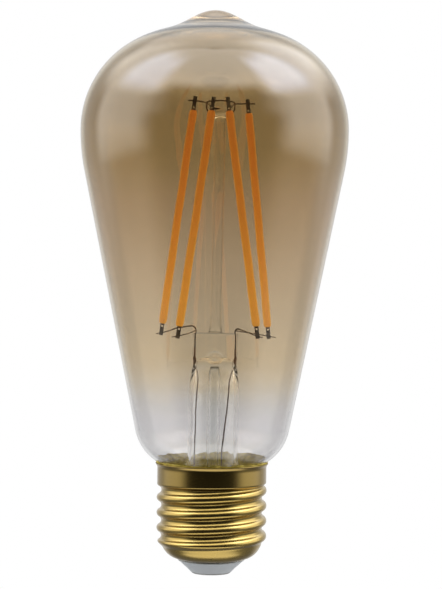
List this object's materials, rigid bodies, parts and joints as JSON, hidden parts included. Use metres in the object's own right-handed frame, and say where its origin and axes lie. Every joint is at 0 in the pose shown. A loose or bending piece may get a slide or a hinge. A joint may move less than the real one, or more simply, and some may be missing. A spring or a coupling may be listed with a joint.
{
  "type": "smart filament light bulb",
  "caption": "Pear-shaped amber glass light bulb with upright LED filaments on a glass stem, a radio-controlled driver in its base, and an Edison screw cap.",
  "frame": {"origin": "middle of the centre contact's lower face", "axes": "+Z along the bulb's axis from the centre contact to the glass tip; -Y faces the viewer, with filaments 2 and 3 in front of the rod; +X to the viewer's right"},
  "size_m": [0.064, 0.064, 0.1345],
  "materials": {
    "amber_glass": "gloss",
    "clear_glass": "gloss",
    "seal_wire": "matte",
    "nickel_wire": "satin",
    "copper_wire": "satin",
    "phosphor": "matte",
    "filament_substrate": "matte",
    "led_chip": "gloss",
    "filament_tab": "satin",
    "cap_brass": "satin",
    "cement": "matte",
    "insulator": "satin",
    "contact": "satin",
    "board": "satin",
    "black_moulding": "matte",
    "capacitor_sleeve": "gloss",
    "rubber_bung": "matte",
    "ferrite": "matte",
    "enamelled_copper": "gloss",
    "film_coating": "gloss",
    "resistor_body": "satin",
    "radio_board": "satin",
    "shield_tin": "satin",
    "antenna_ceramic": "satin",
    "chip_parts": "satin",
    "solder": "satin",
    "live_insulation": "satin",
    "neutral_wire": "satin"
  },
  "bodies": {
    "root": {"glass_envelope": "amber_glass", "stem_flare": "clear_glass", "exhaust_tube": "clear_glass", "stem_rod": "clear_glass", "seal_wire_left": "seal_wire", "seal_wire_right": "seal_wire", "inner_lead_left": "nickel_wire", "inner_lead_right": "nickel_wire", "cross_arm_left": "nickel_wire", "cross_arm_right": "nickel_wire", "outer_lead_left": "copper_wire", "outer_lead_right": "copper_wire", "top_wire_rear": "nickel_wire", "top_wire_front": "nickel_wire", "filament_1_phosphor": "phosphor", "filament_2_phosphor": "phosphor", "filament_3_phosphor": "phosphor", "filament_4_phosphor": "phosphor", "filament_1_substrate": "filament_substrate", "filament_2_substrate": "filament_substrate", "filament_3_substrate": "filament_substrate", "filament_4_substrate": "filament_substrate", "filament_1_led_chips": "led_chip", "filament_2_led_chips": "led_chip", "filament_3_led_chips": "led_chip", "filament_4_led_chips": "led_chip", "filament_1_end_tabs": "filament_tab", "filament_2_end_tabs": "filament_tab", "filament_3_end_tabs": "filament_tab", "filament_4_end_tabs": "filament_tab", "cap_shell": "cap_brass", "cap_cement": "cement", "cap_insulator": "insulator", "centre_contact": "contact", "driver_board": "board", "bridge_rectifier": "black_moulding", "driver_chip": "black_moulding", "smoothing_capacitor": "capacitor_sleeve", "capacitor_bung": "rubber_bung", "inductor_core": "ferrite", "inductor_winding": "enamelled_copper", "film_capacitor": "film_coating", "fusible_resistor": "resistor_body", "radio_module": "radio_board", "radio_shield": "shield_tin", "chip_antenna": "antenna_ceramic", "small_parts": "chip_parts", "solder_joints": "solder", "live_wire": "live_insulation", "neutral_wire": "neutral_wire"}
  },
  "joints": []
}
